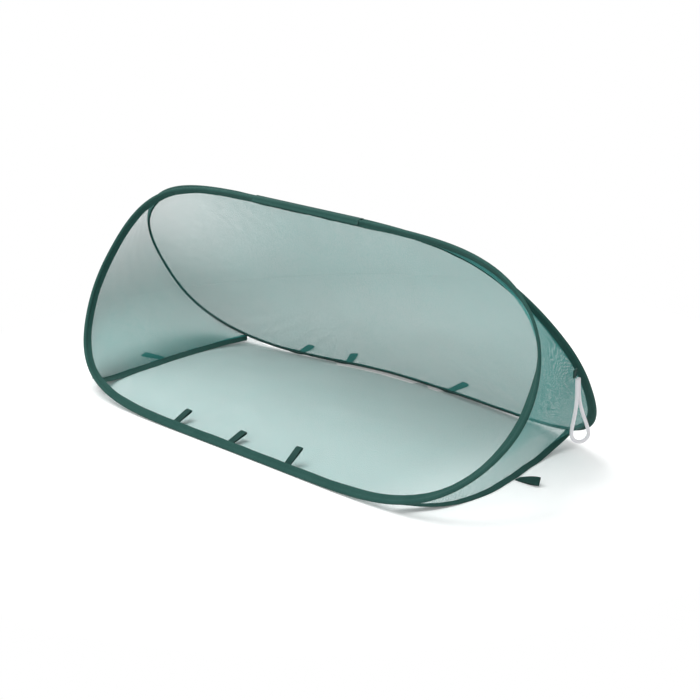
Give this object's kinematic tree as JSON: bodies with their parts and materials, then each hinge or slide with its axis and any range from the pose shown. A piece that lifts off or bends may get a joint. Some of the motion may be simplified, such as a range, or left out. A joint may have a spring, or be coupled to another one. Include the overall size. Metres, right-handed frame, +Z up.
{
  "type": "plant cover",
  "caption": "Pop-up mesh plant cover: two sprung oval hoops leaning together at a ridge, mesh rear, ends and floor, open front, webbing stake loops and an elastic storage loop.",
  "frame": {"origin": "on the ground, under the middle of the cover's box, measured without the free storage loop", "axes": "+X along the ridge towards the end with the storage loop, -Y towards the open front, +Z up"},
  "size_m": [1.0288, 0.468, 0.3574],
  "materials": {
    "binding": "dark green woven polyester tape",
    "mesh": "fine green polyester mesh",
    "webbing": "dark green polyester webbing",
    "wire": "round spring steel wire",
    "sleeve": "crimped",
    "elastic": "white braided elastic"
  },
  "bodies": {
    "rear_frame": {"floor_mesh": "mesh", "rear_mesh_panel": "mesh", "left_end_mesh": "mesh", "right_end_mesh": "mesh", "rear_hoop_binding": "binding", "ridge_seam_tape": "binding", "left_floor_tape": "binding", "right_floor_tape": "binding", "rear_hoop_wire": "wire", "rear_hoop_sleeve": "sleeve", "storage_loop": "elastic", "storage_loop_patch": "binding"},
    "front_frame": {"front_hoop_binding": "binding", "front_hoop_wire": "wire", "front_hoop_sleeve": "sleeve"},
    "front_loop_left": {"front_stake_loop_left": "webbing"},
    "front_loop_middle": {"front_stake_loop_middle": "webbing"},
    "front_loop_right": {"front_stake_loop_right": "webbing"},
    "rear_loop_left": {"rear_stake_loop_left": "webbing"},
    "rear_loop_middle": {"rear_stake_loop_middle": "webbing"},
    "rear_loop_right": {"rear_stake_loop_right": "webbing"},
    "left_loop": {"left_stake_loop": "webbing"},
    "right_loop": {"right_stake_loop": "webbing"}
  },
  "joints": [
    {"name": "front_fold", "type": "hinge", "parent": "rear_frame", "child": "front_frame", "pos_m": [-0.00136, -0.04682, 0.35204], "axis": [1, 0, 0], "range_deg": [0, 39], "deforming": ["floor_mesh", "left_end_mesh", "right_end_mesh", "left_floor_tape", "right_floor_tape", "ridge_seam_tape", "right_stake_loop"]},
    {"name": "front_loop_left_flap", "type": "hinge", "parent": "front_frame", "child": "front_loop_left", "pos_m": [-0.14836, -0.22576, 0.00384], "axis": [1, 0, 0], "range_deg": [-19, 57]},
    {"name": "front_loop_middle_flap", "type": "hinge", "parent": "front_frame", "child": "front_loop_middle", "pos_m": [-0.01637, -0.22484, 0.0034], "axis": [1, 0, 0], "range_deg": [-13, 63]},
    {"name": "front_loop_right_flap", "type": "hinge", "parent": "front_frame", "child": "front_loop_right", "pos_m": [0.11864, -0.22505, 0.00343], "axis": [1, 0, 0], "range_deg": [-34, 45]},
    {"name": "rear_loop_left_flap", "type": "hinge", "parent": "rear_frame", "child": "rear_loop_left", "pos_m": [-0.25637, 0.15831, 0.00125], "axis": [0.9848, 0.1734, 0], "range_deg": [0, 93]},
    {"name": "rear_loop_middle_flap", "type": "hinge", "parent": "rear_frame", "child": "rear_loop_middle", "pos_m": [-0.15136, 0.18167, 0.00125], "axis": [0.8541, 0.52, 0], "range_deg": [0, 105]},
    {"name": "rear_loop_right_flap", "type": "hinge", "parent": "rear_frame", "child": "rear_loop_right", "pos_m": [0.08063, 0.19174, 0.00125], "axis": [0.9986, -0.0526, 0], "range_deg": [0, 102]},
    {"name": "left_loop_flap", "type": "hinge", "parent": "rear_frame", "child": "left_loop", "pos_m": [-0.42845, -0.02284, 0.00125], "axis": [-0.2756, 0.9613, 0], "range_deg": [0, 33]},
    {"name": "right_loop_flap", "type": "hinge", "parent": "rear_frame", "child": "right_loop", "pos_m": [0.40171, -0.01777, 0.00125], "axis": [0, -1, 0], "range_deg": [-8, 33]}
  ]
}
